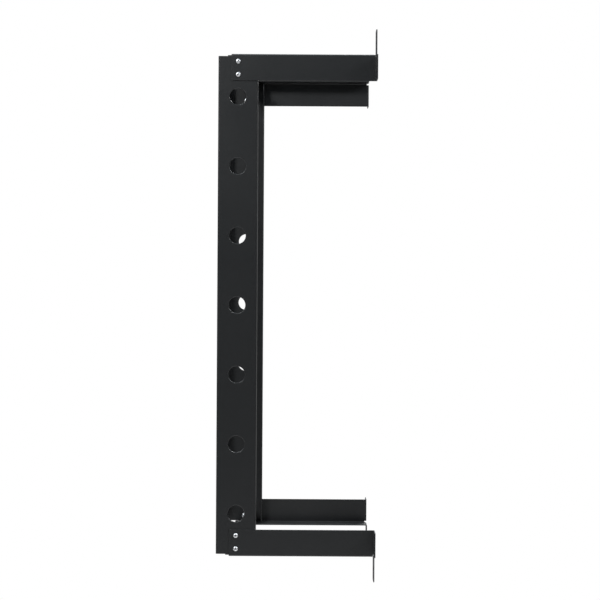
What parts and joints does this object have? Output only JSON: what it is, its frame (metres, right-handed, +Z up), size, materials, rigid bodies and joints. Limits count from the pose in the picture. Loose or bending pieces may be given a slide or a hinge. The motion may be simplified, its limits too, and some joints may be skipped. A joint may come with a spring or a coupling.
{
  "type": "wall-mount open frame rack",
  "caption": "Open frame equipment rack: folded channel posts with rack and cable holes, joined by cross-members and held off the wall by angle arms with folded bolt-down tabs.",
  "frame": {"origin": "on the wall face of the lower left arm's flange tab, at the middle of the tab's lower edge", "axes": "+X to the right as seen facing the rack's front, +Y into the wall, +Z up"},
  "size_m": [0.609, 0.3048, 1.063],
  "materials": {
    "black_powder_coat": "satin black powder coat on folded sheet steel",
    "zinc_plate": "bright zinc plate on button-head screws and flange nuts"
  },
  "bodies": {
    "root": {"right_post": "black_powder_coat", "left_post": "black_powder_coat", "top_right_arm": "black_powder_coat", "top_left_arm": "black_powder_coat", "bottom_right_arm": "black_powder_coat", "bottom_left_arm": "black_powder_coat", "top_cross_member": "black_powder_coat", "bottom_cross_member": "black_powder_coat"}
  },
  "joints": []
}
